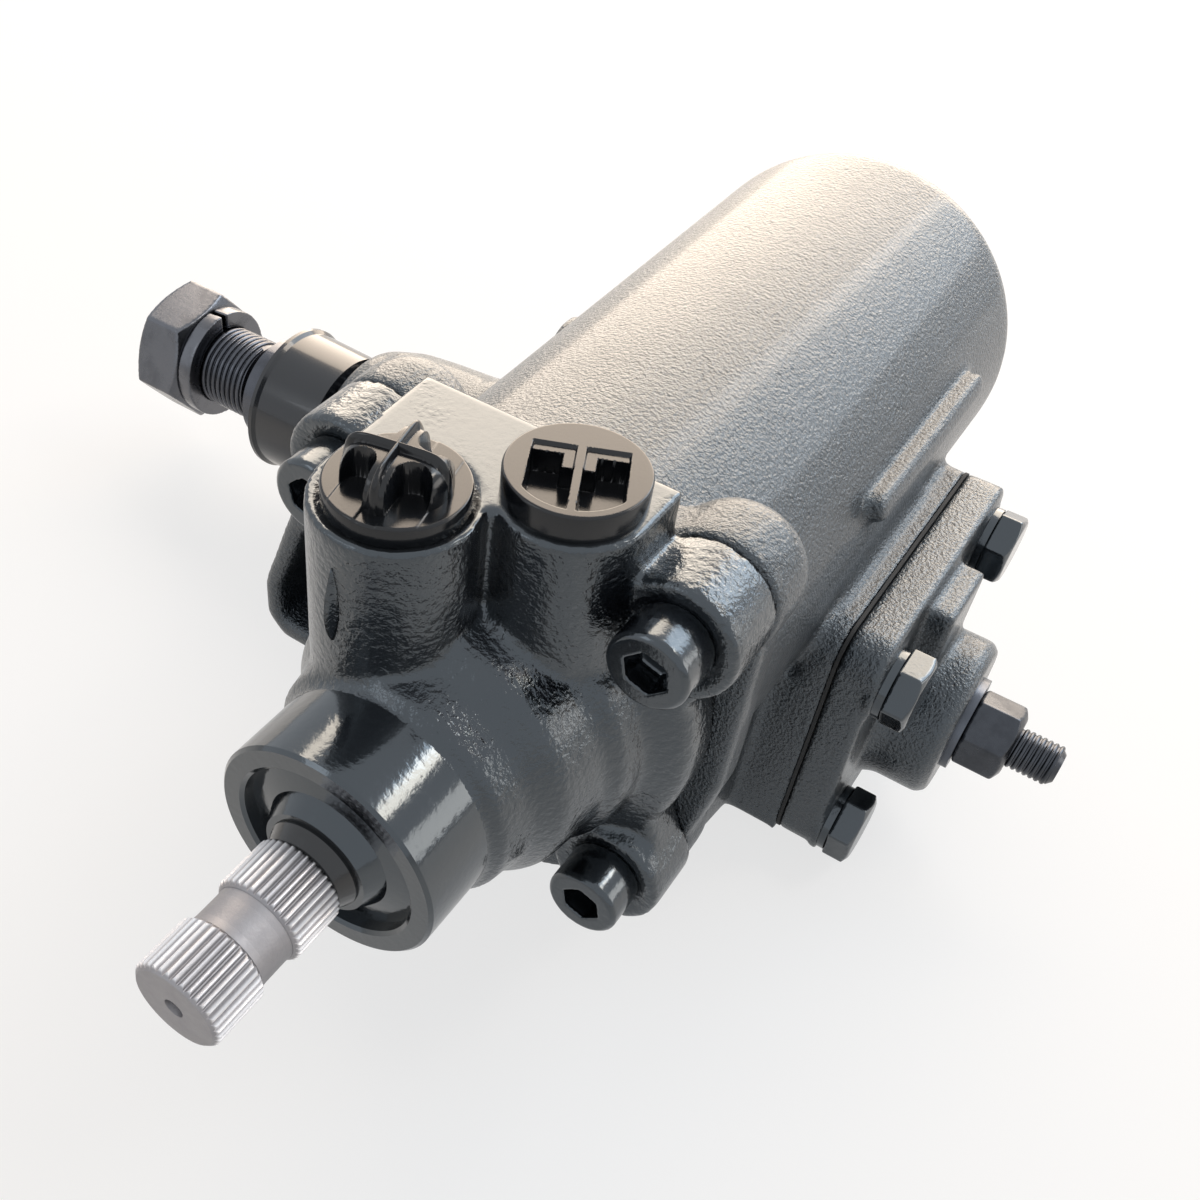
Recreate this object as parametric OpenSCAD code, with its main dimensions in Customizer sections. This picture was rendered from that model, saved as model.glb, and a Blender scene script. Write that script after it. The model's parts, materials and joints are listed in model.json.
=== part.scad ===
/* [Layout] */
// Distance from the frame mounting face to the worm axis
worm_x = 77; // [76:0.5:84]
// Centre distance between the worm axis and the sector shaft
centre_d = 46.5; // [44:0.5:50]
// Distance from the sector shaft forward to the face of the input neck
neck_reach = 154.5; // [153:0.5:162]
// Distance from the sector shaft forward to the joint between the two housings
joint_reach = 87; // [85:0.5:90]
// Distance from the sector shaft back to the closed end of the cylinder
end_reach = 87; // [80:0.5:90]

/* [Cylinder and piston] */
// Diameter of the piston bore
bore_d = 78; // [76:0.5:79]
// Wall around the piston bore
cyl_wall = 8; // [7:0.5:10]
// Thickness of the closed end
end_wall = 12; // [10:1:14]
// Running clearance on radius of the piston and the shafts
run_gap = 0.05; // [0.03:0.01:0.08]
// Piston length forward of the sector shaft
piston_front = 48; // [46:1:50]
// Piston length behind the sector shaft
piston_back = 46; // [45:1:49]
// Width of the piston ring
ring_w = 3; // [2.5:0.5:4]

/* [Worm and balls] */
// Outside diameter of the worm
worm_d = 20; // [19:0.5:20.5]
// Diameter of the recirculating balls
ball_d = 6.35; // [6:0.05:6.4]
// Axial travel of the piston for one turn of the worm
lead = 8.4; // [8:0.1:8.8]
// Number of loaded ball turns
ball_turns = 3; // [2:1:3]
// Largest travel of the piston to each side
travel = 14.5; // [12:0.5:14.5]

/* [Rack and sector] */
// Tooth module of the rack and the sector
tooth_m = 5.25; // [5.1:0.05:5.3]
// Teeth that a full circle of the sector would hold
full_teeth = 8; // [8:1:8]
// Pressure angle of the teeth
press_angle = 28; // [27:0.5:29]
// Play between the flanks of the teeth
backlash = 0.16; // [0.12:0.01:0.25]
// Face width of the sector teeth
sector_w = 36; // [30:1:40]

/* [Sector shaft] */
// Diameter of the sector shaft at its teeth and in the side cover
shaft_d = 32; // [30:0.5:32]
// Diameter of the sector shaft in its output bearing and seals
output_d = 35; // [34:0.5:36]
// Diameter of the tapered serration at its large end
serration_d = 34.6; // [33.4:0.2:34.8]
// Number of serration teeth
serration_n = 36; // [30:2:40]
// Length of the tapered serration
serration_len = 34; // [30:1:36]
// Nominal diameter of the sector shaft thread
thread_d = 24; // [22:1:26]
// Width across flats of the sector shaft nut
nut_af = 36; // [34:1:38]
// Height of the sector shaft nut
nut_h = 16.5; // [15:0.5:19]
// Thickness of the spring washer
washer_t = 5; // [4:0.5:6]
// Length of the transport sleeve over the serration
sleeve_len = 22; // [18:1:26]

/* [Input shaft] */
// Diameter of the input serration
spline_d = 19; // [18:0.25:19.5]
// Number of input serration teeth
spline_n = 36; // [30:1:40]
// Length of each serrated band of the input shaft
spline_len = 12.5; // [11:0.5:14]
// Width of the clamp-bolt groove between the bands
waist_w = 8; // [7:0.5:9]
// Projection of the input shaft from the neck face
shaft_out = 39; // [36:0.5:44]
// Diameter of the input shaft in its seal and bearing
journal_d = 20; // [19.5:0.25:20]
// Diameter of the torsion bar
torsion_d = 7; // [6:0.5:7.5]

/* [Valve housing] */
// Outside diameter of the machined input neck
neck_d = 49; // [48:0.5:52]
// Length of the machined input neck
neck_len = 18.5; // [17:0.5:20]
// Diameter of the recess in the neck face
recess_d = 39; // [38:0.5:40]
// Diameter of the valve bore
valve_d = 40; // [39:0.5:41]
// Height of the port face above the worm axis
port_h = 56.5; // [54:0.5:60]
// Radius of the port bosses
port_boss_r = 16; // [14.5:0.5:17]
// Sideways place of the pressure port from the worm axis
port_a_x = -11; // [-12:0.5:-9]
// Distance of the pressure port in front of the joint
port_a_y = 32; // [30:0.5:33]
// Sideways place of the return port from the worm axis
port_b_x = 13; // [11:0.5:14]
// Distance of the return port in front of the joint
port_b_y = 12.5; // [12:0.5:15]
// Diameter of the drilled port threads
port_d = 14.5; // [13:0.5:16]
// Diameter of the transport plug flanges
plug_d = 26.4; // [24:0.2:28]

/* [Fasteners] */
// Half the spacing of the two upper housing screws
screw_up = 37.5; // [36:0.5:39]
// Half the spacing of the two lower housing screws
screw_low = 34.5; // [33:0.5:37]
// Height of the housing screws above and below the worm axis
screw_rise = 37; // [36:0.5:38]
// Nominal diameter of the housing screws
screw_d = 10; // [9:1:10]
// Head diameter of the housing screws
screw_head_d = 16.6; // [16:0.2:18]
// Head height of the housing screws
screw_head_h = 10.5; // [9:0.5:11]
// Nominal diameter of the side cover bolts
bolt_d = 10; // [8:1:11]
// Width across flats of the side cover bolts
bolt_af = 17; // [15:1:19]
// Head height of the side cover bolts
bolt_head_h = 6.5; // [6:0.5:8]
// Nominal diameter of the adjusting screw
adjust_d = 10; // [9:1:12]
// Width across flats of the lock nut
lock_af = 18; // [16:1:19]

/* [Side cover] */
// Width of the side cover along the cylinder
cover_w = 85; // [84:0.5:87]
// Height of the side cover
cover_h = 72; // [71:0.5:74]
// Thickness of the side cover plate
cover_t = 10; // [9:0.5:12]
// Distance from the worm axis to the joint of the side cover
cover_x = 53.5; // [52:0.5:55]
// Radius of the central boss of the side cover
cover_boss_r = 21.5; // [20.5:0.5:23]
// Height of the central boss over the plate
cover_boss_h = 17.5; // [16:0.5:19]
// Distance from the sector shaft forward to the front edge of the side cover
cover_front = 38; // [37.5:0.5:40]
// Rim of the side cover below the sector chamber
cover_rim = 3.6; // [3.4:0.2:5]
// Distance of the front cover bolts from the front edge
bolt_in_front = 9; // [8.5:0.5:9.5]
// Distance of the back cover bolts from the back edge
bolt_in_back = 12; // [11:0.5:13]
// Distance of the lower cover bolts from the lower edge
bolt_in_low = 8.5; // [8:0.5:9]
// Distance of the upper cover bolts from the upper edge
bolt_in_top = 12.5; // [11.5:0.5:13.5]

/* [Frame mounting] */
// Spacing of the mounting holes along the cylinder
mount_w = 114; // [110:1:120]
// Spacing of the mounting holes across the cylinder
mount_h = 28; // [27:1:34]
// Diameter of the mounting holes
mount_d = 12; // [10.5:0.5:12.5]
// Radius of the mounting bosses
mount_boss_r = 12; // [11.5:0.5:13]

/* [Hidden] */
$fn = 48;

pi_value = 3.14159265;
small = 0.01;
bore_r = bore_d / 2;
cyl_r = bore_r + cyl_wall;
neck_y = -neck_reach;
joint_y = -joint_reach;
neck_back_y = neck_y + neck_len;
top_z = centre_d + port_h;
cover_joint_x = worm_x + cover_x;
gasket_t = 0.8;
spigot_gap = 0.2;
foot_x = cyl_r + 2.5;
foot_drop = centre_d + 24;
cover_in_x = cover_joint_x + gasket_t;
cover_out_x = cover_in_x + cover_t;
cover_boss_x = cover_out_x + cover_boss_h;
pitch_r = tooth_m * full_teeth / 2;
rack_z = pitch_r;
rack_pitch = pi_value * tooth_m;
addendum = 0.8 * tooth_m;
dedendum = 0.98 * tooth_m;
tip_r = pitch_r + addendum;
chamber_r = tip_r + 2.2;
shaft_r = shaft_d / 2;
output_r = output_d / 2;
chamber_x = worm_x - sector_w / 2 - 1;
ball_r = ball_d / 2;
ball_path_r = worm_d / 2 + 0.9;
nut_len = ball_turns * lead + 11;
nut_front_y = -piston_front + 6;
nut_mid_y = nut_front_y + nut_len / 2;
sector_front_x = -35;
output_seal_r = output_r + 4.5;
output_bearing_w = 24;
output_bearing_x = worm_x - bore_r + 8 - output_bearing_w;
port_a = [worm_x + port_a_x, joint_y - port_a_y];
port_b = [worm_x + port_b_x, joint_y - port_b_y];
recess_depth = 17;
input_bearing_w = 13;
sleeve_y = neck_y + recess_depth + input_bearing_w + 3.5;
screw_seat_y = joint_y - 15.5;
screw_places = [[screw_up, screw_rise], [screw_low, -screw_rise], [-screw_low, -screw_rise], [-screw_up, screw_rise]];
cover_low_z = -chamber_r - cover_rim;
cover_top_z = cover_low_z + cover_h;
cover_mid = [cover_w / 2 - cover_front, (cover_low_z + cover_top_z) / 2];
bolt_places = [for (y = [bolt_in_front - cover_front, cover_w - cover_front - bolt_in_back],
    z = [cover_low_z + bolt_in_low, cover_top_z - bolt_in_top]) [y, z]];
bolt_pad_t = 0.6;
bush_r = shaft_r + 3;
shaft_end_x = cover_in_x + 17;
head_t = 4.5;
head_x = shaft_end_x - 8.5;
slot_lip_x = shaft_end_x - 3;
adjust_head_r = 8.5;
adjust_neck_r = adjust_d / 2 - 1.2;
adjust_out = 25.5;
adjust_tip_x = cover_boss_x + adjust_out;
seal_disc_t = 1.8;
lock_nut_h = 12;
bolt_washer_t = 1.8;
bolt_seat_x = cover_out_x + bolt_pad_t + bolt_washer_t;
journal_r = journal_d / 2;
spool_r = 13;
waist_r = 8.3;
shaft_tip_y = neck_y - shaft_out;
band_y = shaft_tip_y + spline_len + waist_w;
worm_front_y = joint_y - 6;
worm_flange_y = joint_y - 2.9;
bearing_y = joint_y + 2.5;
bearing_bore_r = journal_r + 4;
bearing_in_r = 17.6;
bearing_seat_r = 14.6;
bearing_path_r = 19.8;
sleeve_pin_r = 1;
pin_len = 6.5;
race_back_y = joint_y + 7.9;
ring_nut_w = 3;
screw_len = 29;
washer_rim = 5.4;
torsion_end_y = 0;
output_shoulder_x = output_bearing_x + output_bearing_w + 1;
serration_x = sector_front_x - 0.5;
sleeve_r = serration_d / 2 + 5.1;
sleeve_x = sector_front_x - 0.6 - sleeve_len - 3.8;
nut_x = sector_front_x - 60;
thread_end_x = nut_x - nut_h - 2;
nut_turn = 40;
rack_half = 2 * rack_pitch + tooth_m * pi_value / 4 + backlash / 4 + addendum * tan(press_angle);
piston_ring_y = piston_back - 4.2;
ball_nut_r = 17;
guide_r = 4;
clamp_half = 7.5;
guide_lift = 3;
guide_span = 2 * (sqrt(bore_r * bore_r - clamp_half * clamp_half) - ball_nut_r - guide_r - guide_lift - 3.27);
guide_front_y = nut_mid_y - guide_span / 2;
balls_per_turn = 10;
track_r = ball_r + 0.2;
track_sides = 16;
track_start_y = nut_mid_y - ball_turns * lead / 2 - travel - 4;
track_end_y = nut_mid_y + ball_turns * lead / 2 + travel + 2;
seal_ring_w = 2;
seal_pitch = (worm_front_y - sleeve_y - 1) / 4;
seal_land = (seal_pitch - seal_ring_w) * 0.3;
function seal_y(i) = sleeve_y + (i + 4 / 9) * seal_pitch;

// Children are extruded from y0 to y1, drawn as seen from the front: first X, then Z
module along_y(y0, y1) translate([0, y1, 0]) rotate([90, 0, 0]) linear_extrude(y1 - y0) children();
// Children are extruded from x0 to x1, drawn in Y, then Z
module along_x(x0, x1) translate([x0, 0, 0]) rotate([90, 0, 90]) linear_extrude(x1 - x0) children();
// Round rod on the worm axis
module rod_y(y0, y1, r0, r1 = -1)
    translate([worm_x, y0, centre_d]) rotate([-90, 0, 0]) cylinder(h = y1 - y0, r1 = r0, r2 = r1 < 0 ? r0 : r1);
// Round rod on the sector shaft axis
module rod_x(x0, x1, r0, r1 = -1)
    translate([x0, 0, 0]) rotate([0, 90, 0]) cylinder(h = x1 - x0, r1 = r0, r2 = r1 < 0 ? r0 : r1);
// Turned shape on the worm axis, from points of radius and Y
module turn_y(points) translate([worm_x, 0, centre_d]) rotate([-90, 0, 0]) rotate_extrude() polygon(points);
// Turned shape on the sector shaft axis, from points of radius and X
module turn_x(points) rotate([0, 90, 0]) rotate_extrude() polygon(points);
// Plain ring on the worm axis
module ring_y(y0, y1, r_in, r_out) turn_y([[r_in, y0], [r_out, y0], [r_out, y1], [r_in, y1]]);
// Plain ring on the sector shaft axis
module ring_x(x0, x1, r_in, r_out) turn_x([[r_in, x0], [r_out, x0], [r_out, x1], [r_in, x1]]);

// Rectangle with round corners
module round_rect(w, h, r) {
    square([w - 2 * r, h], center = true);
    square([w, h - 2 * r], center = true);
    for (sx = [-1, 1], sy = [-1, 1]) translate([sx * (w / 2 - r), sy * (h / 2 - r)]) circle(r);
}

// Outline of two circles joined by their outer tangents
module link(p0, r0, p1, r1) {
    d = norm(p1 - p0);
    turn = atan2(p1[1] - p0[1], p1[0] - p0[0]);
    a = acos((r0 - r1) / d);
    translate(p0) rotate(turn) {
        polygon([[r0 * cos(a), r0 * sin(a)], [r0 * cos(a), -r0 * sin(a)],
            [d + r1 * cos(a), -r1 * sin(a)], [d + r1 * cos(a), r1 * sin(a)]]);
        circle(r0);
        translate([d, 0]) circle(r1);
    }
}

// Gear housing, one casting of cylinder, sector chamber, output boss and frame mounts
module housing_flange_outline() {
    translate([worm_x, centre_d]) {
        circle(cyl_r + 2);
        for (s = screw_places) translate([s[0], s[1]]) circle(s[1] > 0 ? 13.2 : 12);
        polygon([[-foot_x, -12], [-foot_x + 3, -28], [-foot_x + 6, -41], [-foot_x + 14, -foot_drop + 13], [-12, -foot_drop], [12, -foot_drop],
            [foot_x - 14, -foot_drop + 13], [foot_x - 6, -41], [foot_x - 3, -28], [foot_x, -12], [foot_x, 28], [-foot_x, 28]]);
        square([2 * screw_up, 2 * (screw_rise + 9)], center = true);
    }
}

module barrel() {
    end_round = 9;
    nose = [for (a = [0:15:90]) [cyl_r - end_round + end_round * cos(a), end_reach - end_round + end_round * sin(a)]];
    turn_y(concat([[0, joint_y], [cyl_r, joint_y]], nose, [[0, end_reach]]));
    rod_y(end_reach - small, end_reach + 2, 16, 15);
}

module screw_boss(place, r, len) {
    dome = [for (a = [0:15:75]) [r * cos(a), len + 0.7 * r * sin(a)]];
    translate([worm_x + place[0], joint_y, centre_d + place[1]]) rotate([-90, 0, 0])
        rotate_extrude() polygon(concat([[0, 0], [r, 0]], dome, [[0, len + 0.7 * r]]));
}

module cover_outline(less = 0)
    translate(cover_mid) round_rect(cover_w - 2 * less, cover_h - 2 * less, 8.5 - less);

module sector_chamber_walls() {
    side_x = worm_x + cyl_r - 8;
    wall_r = chamber_r + 7;
    along_x(worm_x - 38, cover_joint_x - 6) {
        circle(wall_r);
        polygon([[3 - wall_r, wall_r / 4], [wall_r - 3, wall_r / 4], [wall_r - 10, centre_d - 3], [10 - wall_r, centre_d - 3]]);
    }
    along_x(worm_x + 28, cover_joint_x) {
        translate([-cover_front, cover_low_z + 2]) square([cover_w / 2, cover_h - 18]);
        cover_outline(2);
    }
    along_x(cover_joint_x - 7, cover_joint_x) cover_outline();
    along_x(side_x - 20, cover_joint_x - 6) translate([-30, 0]) square([60, centre_d - 8]);
}

module chin() {
    along_x(worm_x - 34, worm_x + 40) polygon([[joint_y, centre_d], [joint_y, centre_d - 58], [joint_y + 16, centre_d - 64],
        [-30, -chamber_r - 3], [0, -chamber_r - 3], [0, centre_d]]);
}

module output_boss() {
    end_x = sector_front_x;
    turn_x([[0, end_x], [24, end_x], [26, end_x + 2], [29, end_x + 12], [30, end_x + 22], [33, worm_x - 44], [0, worm_x - 44]]);
    for (a = [50:60:350]) rotate([a, 0, 0]) translate([end_x + 9, -3, 0]) cube([34, 6, 30]);
}

module mounts() {
    for (sy = [-1, 1], sz = [-1, 1]) translate([0, sy * mount_w / 2, sz * mount_h / 2])
        rotate([0, 90, 0]) cylinder(h = worm_x - 38, r = mount_boss_r);
    for (sy = [-1, 1]) {
        along_x(0, 12) link([sy * mount_w / 2, -mount_h / 2], mount_boss_r - 2, [sy * mount_w / 2, mount_h / 2], mount_boss_r - 2);
        along_x(4, 14) link([0, 0], 32, [sy * mount_w / 2, -mount_h / 2], mount_boss_r - 3);
        along_x(16, worm_x - 36) link([0, 0], 20, [sy * mount_w / 2, -mount_h / 2], 9);
    }
    front_lug();
}

// Open pocketed lug in front of the upper front mounting boss
module front_lug() {
    lug_y = joint_y + 2;
    along_y(lug_y, -mount_w / 2) polygon([[0, centre_d - 27], [10, centre_d + 1], [worm_x - 38, centre_d + 6],
        [worm_x - 38, centre_d - 44], [5, centre_d - 44], [0, centre_d - 39]]);
}

module front_lug_pocket() {
    lug_y = joint_y + 2;
    along_y(lug_y - 1, lug_y + 14) polygon([[5, centre_d - 27], [14, centre_d - 4], [worm_x - 50, centre_d - 1],
        [worm_x - 50, centre_d - 38], [7, centre_d - 38], [5, centre_d - 36]]);
}

module side_rib() {
    translate([worm_x, -15, centre_d]) rotate([0, -18, 0]) translate([cyl_r - 3, 0, -3]) {
        cube([7.5, 60, 7]);
        translate([0, 60, 3.5]) rotate([0, 90, 0]) cylinder(h = 7.5, r = 3.5);
        translate([0, 0, 3.5]) rotate([0, 90, 0]) cylinder(h = 7.5, r = 3.5);
    }
}

module gear_housing() color([0.07, 0.08, 0.09]) difference() {
    union() {
        barrel();
        along_y(joint_y, joint_y + 10) housing_flange_outline();
        screw_boss(screw_places[0], 13.6, 11);
        for (i = [1:3]) screw_boss(screw_places[i], i == 3 ? 12.6 : 11.4, 11);
        sector_chamber_walls();
        chin();
        output_boss();
        mounts();
        side_rib();
    }
    rod_y(joint_y - 1, end_reach - end_wall, bore_r);
    rod_x(chamber_x, cover_joint_x + 1, chamber_r);
    rod_x(sector_front_x - 1, chamber_x + 1, output_r + 1);
    rod_x(output_bearing_x, output_bearing_x + output_bearing_w, output_r + 4.5);
    rod_x(sector_front_x - 1, sector_front_x + 21, output_seal_r);
    ring_x(sector_front_x + 8.4, sector_front_x + 10, output_r, output_seal_r + 1.2);
    front_lug_pocket();
    for (s = screw_places) translate([worm_x + s[0], joint_y - 1, centre_d + s[1]])
        rotate([-90, 0, 0]) cylinder(h = 19, r = screw_d / 2);
    for (p = bolt_places) translate([cover_joint_x - 17, p[0], p[1]]) rotate([0, 90, 0]) cylinder(h = 18, r = bolt_d / 2);
    for (sy = [-1, 1], sz = [-1, 1]) translate([-1, sy * mount_w / 2, sz * mount_h / 2])
        rotate([0, 90, 0]) cylinder(h = 27, r = mount_d / 2);
}

// Valve housing, a casting that carries the input neck, the ports and the rotary valve
module port_plateau() {
    side = port_boss_r + 1;
    difference() {
        union() {
            translate(port_a) circle(port_boss_r);
            translate(port_b) circle(port_boss_r - 1);
            polygon([port_a + [-port_boss_r, 0], [port_a[0] - side, joint_y], [port_b[0] + port_boss_r - 1, joint_y],
                port_b + [port_boss_r - 1, 0], port_b, port_a]);
        }
        translate([port_b[0] - 2 * port_boss_r, joint_y]) square([4 * port_boss_r, port_boss_r]);
    }
}

module valve_body() {
    step_y = neck_back_y;
    turn_y([[0, neck_y], [neck_d / 2 - 0.8, neck_y], [neck_d / 2, neck_y + 0.8], [neck_d / 2, step_y], [neck_d / 2 + 2.2, step_y + 1.5],
        [neck_d / 2 + 3.5, step_y + 9], [32.5, step_y + 14], [34, step_y + 26], [36.5, joint_y - 21], [37.5, joint_y - 14],
        [43.5, joint_y - 11], [45, joint_y - 9], [45, joint_y], [0, joint_y]]);
    for (s = screw_places) translate([worm_x + s[0], screw_seat_y, centre_d + s[1]])
        rotate([-90, 0, 0]) cylinder(h = joint_y - screw_seat_y, r = 13);
    for (s = screw_places) along_y(joint_y - 11, joint_y)
        link([worm_x, centre_d], 30, [worm_x + s[0], centre_d + s[1]], 12);
    translate([0, 0, centre_d + 6]) linear_extrude(port_h - 6) port_plateau();
    rod_y(joint_y - 1, joint_y + 11, bore_r - spigot_gap);
}

module port_drill(p) {
    translate([p[0], p[1], top_z - 17]) cylinder(h = 18, r = port_d / 2);
    translate([p[0], p[1], top_z - 26]) cylinder(h = 10, r = 5);
    translate([p[0], p[1], centre_d]) cylinder(h = port_h - 20, r = 3);
}

module valve_housing() color([0.05, 0.06, 0.07]) difference() {
    valve_body();
    rod_y(neck_y - 1, neck_y + recess_depth, recess_d / 2);
    ring_y(neck_y + 5, neck_y + 6.6, recess_d / 2 - 1, recess_d / 2 + 1.2);
    rod_y(neck_y + recess_depth - 1, sleeve_y, bearing_bore_r);
    rod_y(sleeve_y - 1, joint_y - 2, valve_d / 2);
    rod_y(joint_y - 3, joint_y + 12, 26);
    ring_y(joint_y + 4, joint_y + 7, bore_r - 2.4, bore_r + 1);
    port_drill(port_a);
    port_drill(port_b);
    translate([port_a[0], port_a[1], top_z - 1.2]) cylinder(h = 2, r = plug_d / 2 + 0.8);
    for (s = screw_places) translate([worm_x + s[0], screw_seat_y - 1, centre_d + s[1]])
        rotate([-90, 0, 0]) {
            cylinder(h = 30, r = screw_d / 2 + 0.5);
            cylinder(h = 2, r = screw_head_d / 2 + 1.4);
        }
}

// Side cover, a cast plate with a round boss, a stiffening pad and the bush of the sector shaft
module side_cover() color([0.08, 0.09, 0.1]) difference() {
    union() {
        along_x(cover_in_x, cover_out_x) cover_outline();
        turn_x([[0, cover_out_x - 1], [cover_boss_r + 2, cover_out_x - 1], [cover_boss_r, cover_out_x + 4],
            [cover_boss_r, cover_boss_x - 2], [cover_boss_r - 2, cover_boss_x], [0, cover_boss_x]]);
        along_x(cover_out_x - 1, cover_out_x + 7) translate([-11, 0]) square([22, cover_top_z - 3]);
        for (p = bolt_places) along_x(cover_out_x - 1, cover_out_x + bolt_pad_t) translate(p) circle(bolt_af / 2 + 1.2);
        ring_x(cover_joint_x - 6, cover_in_x + 1, bush_r, chamber_r - spigot_gap);
    }
    rod_x(cover_in_x - 8, shaft_end_x + 2, bush_r);
    rod_x(cover_in_x, cover_boss_x + 1, adjust_d / 2 + run_gap);
    for (p = bolt_places) translate([cover_in_x - 1, p[0], p[1]]) rotate([0, 90, 0]) cylinder(h = cover_t + 3, r = bolt_d / 2 + 0.5);
}

module cover_gasket() color([0.12, 0.12, 0.12]) difference() {
    along_x(cover_joint_x, cover_in_x) cover_outline();
    rod_x(cover_joint_x - 1, cover_in_x + 1, chamber_r);
    for (p = bolt_places) translate([cover_joint_x - 1, p[0], p[1]]) rotate([0, 90, 0]) cylinder(h = 3, r = bolt_d / 2 + 0.5);
}

// Fasteners
module hex_prism(h, af, bevel_front, bevel_back) intersection() {
    corner_r = af / 2 / cos(30);
    cylinder(h = h, r = corner_r, $fn = 6);
    rotate_extrude() polygon([[0, 0], [corner_r - bevel_front * 1.8, 0], [corner_r + 0.1, bevel_front],
        [corner_r + 0.1, h - bevel_back], [corner_r - bevel_back * 1.8, h], [0, h]]);
}

module socket_screw() {
    difference() {
        rotate_extrude() polygon([[0, 0], [screw_head_d / 2 - 0.8, 0], [screw_head_d / 2, 0.8],
            [screw_head_d / 2, screw_head_h], [0, screw_head_h]]);
        translate([0, 0, -1]) cylinder(h = screw_head_h * 0.55 + 1, r = screw_d * 0.8 / 2 / cos(30), $fn = 6);
    }
    translate([0, 0, screw_head_h - 1]) cylinder(h = screw_len, r = screw_d / 2 - 0.05);
}

module housing_screws() color([0.1, 0.11, 0.12]) for (s = screw_places)
    translate([worm_x + s[0], screw_seat_y + 1 - screw_head_h, centre_d + s[1]])
        rotate([-90, 0, 0]) rotate(17) socket_screw();

module cover_bolts() color([0.12, 0.13, 0.14]) for (i = [0:3])
    translate([bolt_seat_x, bolt_places[i][0], bolt_places[i][1]]) rotate([0, 90, 0]) {
        rotate([11, 29, -11, 4][i]) hex_prism(bolt_head_h, bolt_af, 0.01, 1.1);
        translate([0, 0, -cover_t - 16]) cylinder(h = cover_t + 16.5, r = bolt_d / 2 - 0.05);
    }

module cover_washers() color([0.1, 0.1, 0.11]) for (p = bolt_places)
    translate([bolt_seat_x - bolt_washer_t, p[0], p[1]]) rotate([0, 90, 0]) difference() {
        cylinder(h = bolt_washer_t, r = bolt_af / 2 + 0.4);
        translate([0, 0, -1]) cylinder(h = bolt_washer_t + 2, r = bolt_d / 2 + 0.2);
        rotate(130) translate([0, -0.6, -1]) cube([20, 1.2, 5]);
    }

module adjusting_screw() color([0.2, 0.21, 0.22]) difference() {
    turn_x([[0, head_x], [adjust_head_r, head_x], [adjust_head_r, head_x + head_t], [adjust_neck_r, head_x + head_t],
        [adjust_neck_r, shaft_end_x + 1], [adjust_d / 2 - 1, shaft_end_x + 1], [adjust_d / 2, shaft_end_x + 2],
        [adjust_d / 2, adjust_tip_x - 1.2], [adjust_d / 2 - 1.2, adjust_tip_x], [0, adjust_tip_x]]);
    rotate([0, 90, 0]) translate([0, 0, adjust_tip_x - 6]) cylinder(h = 7, r = adjust_d / 4 / cos(30), $fn = 6);
}

module adjuster_shim() color([0.6, 0.6, 0.6]) ring_x(head_x + head_t + 0.05, slot_lip_x - 0.05, adjust_neck_r + 0.2, adjust_head_r);

module lock_nut_seal() color([0.25, 0.26, 0.27]) ring_x(cover_boss_x, cover_boss_x + seal_disc_t, adjust_d / 2 + run_gap, lock_af / 2 + 3.5);

module lock_nut() color([0.3, 0.31, 0.33]) difference() {
    translate([cover_boss_x + seal_disc_t, 0, 0]) rotate([0, 90, 0]) rotate(8) hex_prism(lock_nut_h, lock_af, 0.6, 1.6);
    rod_x(cover_boss_x, cover_boss_x + 20, adjust_d / 2 + run_gap);
}

module housing_seal_ring() color([0.05, 0.05, 0.05])
    translate([worm_x, joint_y + 5.5, centre_d]) rotate([-90, 0, 0]) rotate_extrude() translate([bore_r - 1.25, 0]) circle(1.05, $fn = 24);

// Transport plugs pushed into the ports
module plug_body(low, high) {
    translate([0, 0, low]) rotate_extrude() polygon([[0, 0], [plug_d / 2 - 0.5, 0], [plug_d / 2, 0.5], [plug_d / 2, high - low - 0.6],
        [plug_d / 2 - 0.6, high - low], [0, high - low]]);
    translate([0, 0, low - 10]) cylinder(h = 11, r1 = port_d / 2 - 0.9, r2 = port_d / 2 - 0.1);
}

module port_plug_left() color([0.06, 0.07, 0.09]) translate([port_a[0], port_a[1], top_z]) difference() {
    union() {
        plug_body(-1.2, 3);
        translate([0, 0, 2]) cylinder(h = 9, r1 = plug_d / 2 - 3.4, r2 = plug_d / 2 - 5);
    }
    for (a = [12, 102]) rotate(a) translate([-20, -1.1, 4.5]) cube([40, 2.2, 20]);
    for (a = [57:90:327]) rotate(a) translate([5.4, 0, 6.5]) cylinder(h = 9, r = 2);
}

module port_plug_right() color([0.06, 0.07, 0.09]) translate([port_b[0], port_b[1], top_z]) difference() {
    union() {
        plug_body(0, 4.2);
        for (sx = [-1, 1]) translate([sx * 5.2 - 3.9, -6, 4]) cube([7.8, 12, 5.5]);
        translate([-1.1, 1 - plug_d / 2, 4]) cube([2.2, plug_d - 2, 5.5]);
    }
    for (sx = [-1, 1]) translate([sx * 5.2 - 2.4, -4.2, 3]) cube([4.8, 8.4, 8]);
}

module port_seats() color([0.75, 0.6, 0.3]) for (p = [port_a, port_b]) translate([p[0], p[1], top_z - 26])
    rotate_extrude() polygon([[2, 0], [4.95, 0], [4.95, 7], [3, 9.5], [2, 9.5]]);

// Input neck, from the outside in
module input_dust_seal() color([0.03, 0.03, 0.03])
    turn_y([[journal_r + run_gap, neck_y - 2.5], [journal_r + 1.4, neck_y - 2.5], [journal_r + 3.6, neck_y + 1.4], [recess_d / 2 - 2.6, neck_y + 2.2],
        [recess_d / 2 - run_gap, neck_y + 3], [recess_d / 2 - run_gap, neck_y + 5], [journal_r + 2.2, neck_y + 5], [journal_r + run_gap, neck_y]]);

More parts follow.
